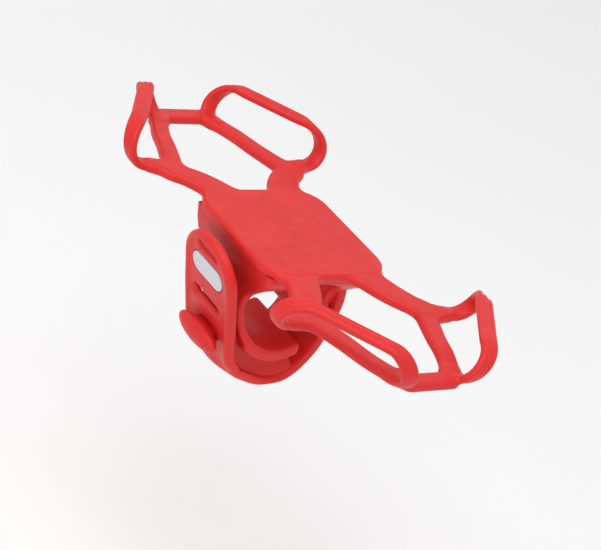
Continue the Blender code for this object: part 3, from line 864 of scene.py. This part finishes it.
def saddle_field(points):
    x, y, z = points.T
    reach = np.hypot(x, z)
    walls = np.maximum(-x - at_height(z, LEFT_WALL), x - at_height(z, RIGHT_WALL))
    crown = np.maximum(walls, np.maximum(CROWN_LOW - z, z - CROWN_HIGH))
    middle, half_t = (CHANNEL_R + LEG_R) / 2, (LEG_R - CHANNEL_R) / 2
    left_leg = arc_band(x, z, middle, half_t, radians(150.0), radians(297.5))
    right_leg = arc_band(x, z, middle, half_t, radians(-32.5), radians(30.0))
    left_rim = arc_band(x, z, LEG_R, 1.0, radians(232.0), radians(296.0))
    legs = smooth_min(np.minimum(left_leg, right_leg), left_rim, 1.5)
    section = smooth_min(crown, legs, 0.8)
    section = smooth_max(section, CHANNEL_R - reach, 0.5)
    waist = np.abs(y) - np.where(y > 0.0, at_height(z, FAR_WAIST), at_height(z, WAIST))
    body = smooth_max(section, waist * 0.85, 1.4)
    return smooth_min(body, heel_field(x, y, z, reach), 0.8)


def make_saddle(mat):
    points, quads = surface(saddle_field, (-24.5, -22.5, -28.0), (23.5, 22.5, 18.6), SADDLE_CELL)
    saddle = make_piece("saddle", points, quads, mat, [((0.0, 0.0, SADDLE_TOP), (0.0, 0.0, 1.0))])
    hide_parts("saddle_crown", "left_leg", "right_leg", "hook_heel")
    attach(saddle, "root")


def hook_field(points):
    """A long lens leaning on a short post."""
    x, y, z = points.T
    s = x * PANEL_UP[0] + z * PANEL_UP[2]
    out = x * PANEL_OUT[0] + z * PANEL_OUT[2]
    post = slab(stadium(y, s - HOOK_S, *POST_SIZE), out - POST_OUT, POST_HALF_LENGTH, 0.5)
    rise, height = s - HEAD_S, out - HEAD_OUT
    up_head = rise * cos(HEAD_TILT) + height * sin(HEAD_TILT)
    proud = -rise * sin(HEAD_TILT) + height * cos(HEAD_TILT)
    radii = np.empty((len(x), 3))
    radii[:, 0] = HEAD_HALF_WIDTH
    radii[:, 1] = HEAD_HALF_HEIGHT
    radii[:, 2] = np.where(proud > 0.0, HEAD_FRONT, HEAD_BACK)
    place = np.stack((y, up_head, proud), axis=1)
    size = np.linalg.norm(place / radii, axis=1)
    slope = np.maximum(np.linalg.norm(place / radii ** 2, axis=1), 1e-6)
    return smooth_min(size * (size - 1.0) / slope, post, 1.6)


def make_hook(mat):
    low = panel_point(HOOK_S, 20.0) - (8.5, 11.0, 8.5)
    high = panel_point(HOOK_S, 23.0) + (7.0, 11.0, 8.5)
    points, quads = surface(hook_field, low, high, HOOK_CELL)
    hook = make_piece("hook_button", points, quads, mat)
    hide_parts("hook_post", "hook_head")
    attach(hook, "root")


# ---------------------------------------------------------------- stage

FLOOR_HALF = 3.0                   # the stage is in metres
FLOOR_Z = -0.12
LIGHT_SIZE = 0.6
KEY_PLACE = (-0.35, -0.15, 0.75)
FILL_PLACE = (-0.75, -0.65, 0.15)
WORLD_STRENGTH = 0.86
CAMERA_PLACE = (-0.425565, -0.429752, 0.317395)
CAMERA_TURN = (60.8772, -20.4162, -34.3821)


def area_light(name, place, power):
    data = bpy.data.lights.new(name, "AREA")
    data.shape = "SQUARE"
    data.size = LIGHT_SIZE
    data.energy = power
    light = bpy.data.objects.new(name, data)
    light.location = place
    light.rotation_euler = (-Vector(place)).to_track_quat("-Z", "Y").to_euler()
    bpy.context.scene.collection.objects.link(light)


def make_floor():
    corners = [(-FLOOR_HALF, -FLOOR_HALF, FLOOR_Z), (FLOOR_HALF, -FLOOR_HALF, FLOOR_Z),
               (FLOOR_HALF, FLOOR_HALF, FLOOR_Z), (-FLOOR_HALF, FLOOR_HALF, FLOOR_Z)]
    mesh = bpy.data.meshes.new("floor")
    mesh.from_pydata(corners, [], [(0, 1, 2, 3)])
    mat, nodes, links, shader = new_material("pale_floor")
    patches = noise(nodes, links, 6.0, 2.0)
    colour = mix_colours(nodes, links, patches, (0.86, 0.86, 0.86), (0.88, 0.88, 0.88))
    links.new(colour, shader.inputs["Base Color"])
    shader.inputs["Roughness"].default_value = 0.8
    mesh.materials.append(mat)
    floor = bpy.data.objects.new("floor", mesh)
    bpy.context.scene.collection.objects.link(floor)


def make_lights():
    world = bpy.data.worlds.new("studio")
    world.use_nodes = True
    background = world.node_tree.nodes["Background"]
    background.inputs["Color"].default_value = (1.0, 1.0, 1.0, 1.0)
    background.inputs["Strength"].default_value = WORLD_STRENGTH
    bpy.context.scene.world = world
    area_light("key", KEY_PLACE, 3.2)
    area_light("front_fill", FILL_PLACE, 0.4)
    bpy.context.scene.view_settings.view_transform = "Standard"


def make_camera():
    data = bpy.data.cameras.new("camera")
    data.sensor_width = 36.0
    data.lens = 135.3
    camera = bpy.data.objects.new("camera", data)
    camera.location = CAMERA_PLACE
    camera.rotation_euler = [radians(angle) for angle in CAMERA_TURN]
    bpy.context.scene.collection.objects.link(camera)
    bpy.context.scene.camera = camera


red = silicone()
foil = reflective_foil()
make_camera()
make_floor()
make_lights()
make_pad(red)
for end, label in ((1, "upper"), (-1, "lower")):
    make_web(end, label, red)
    make_loops(end, label, red)
make_saddle(red)
make_hook(red)
make_strap(red)
make_reflector(foil)
